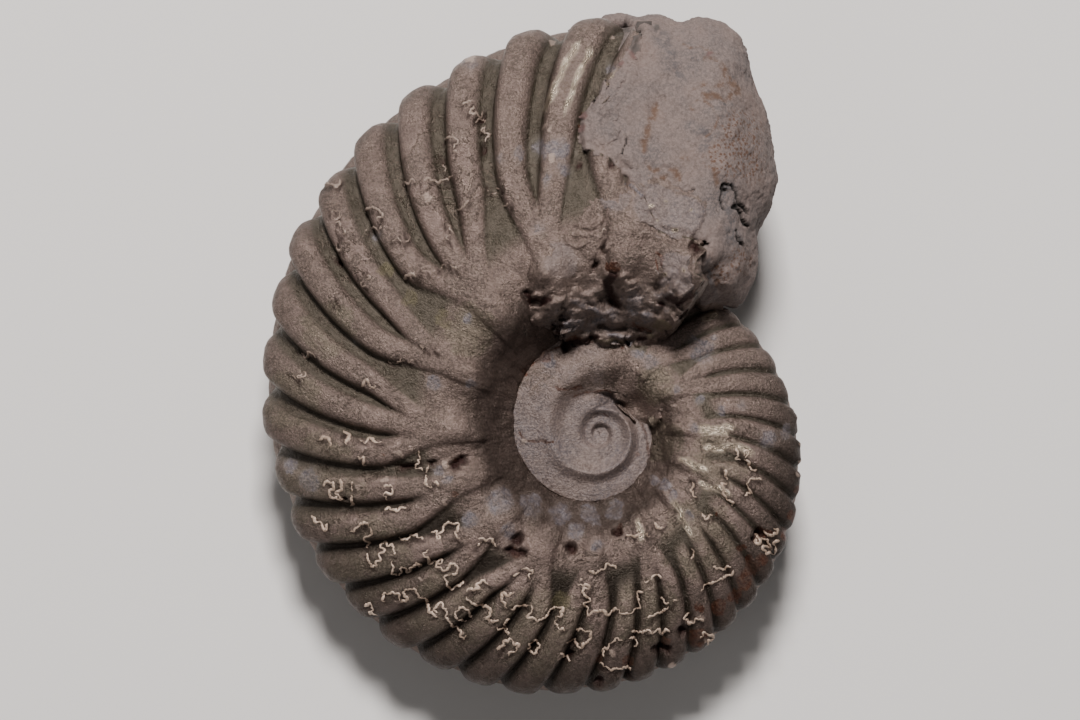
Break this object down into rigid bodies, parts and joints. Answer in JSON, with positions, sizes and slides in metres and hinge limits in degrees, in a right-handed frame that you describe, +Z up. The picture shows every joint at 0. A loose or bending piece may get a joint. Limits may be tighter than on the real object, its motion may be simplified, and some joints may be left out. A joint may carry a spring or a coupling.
{
  "type": "fossil ammonite",
  "caption": "Flat-coiled fossil shell lying on its flank: a pyrite cast with swept, paired ribs, a narrow navel and pale stone left in its broken front end.",
  "frame": {"origin": "centre of the object's footprint box, on the surface that it lies on", "axes": "+Z up, through the flanks; +Y towards the front of the coil, where the stone is; +X to the right of the face shown in the picture"},
  "size_m": [0.04, 0.05, 0.0212],
  "materials": {
    "pyrite": "dull brown-grey pyrite with a metallic sheen on worn ribs",
    "matrix_stone": "matte pinkish grey mudstone with brown stains"
  },
  "bodies": {
    "root": {"ammonite_cast": "pyrite", "matrix_plug": "matrix_stone"}
  },
  "joints": []
}
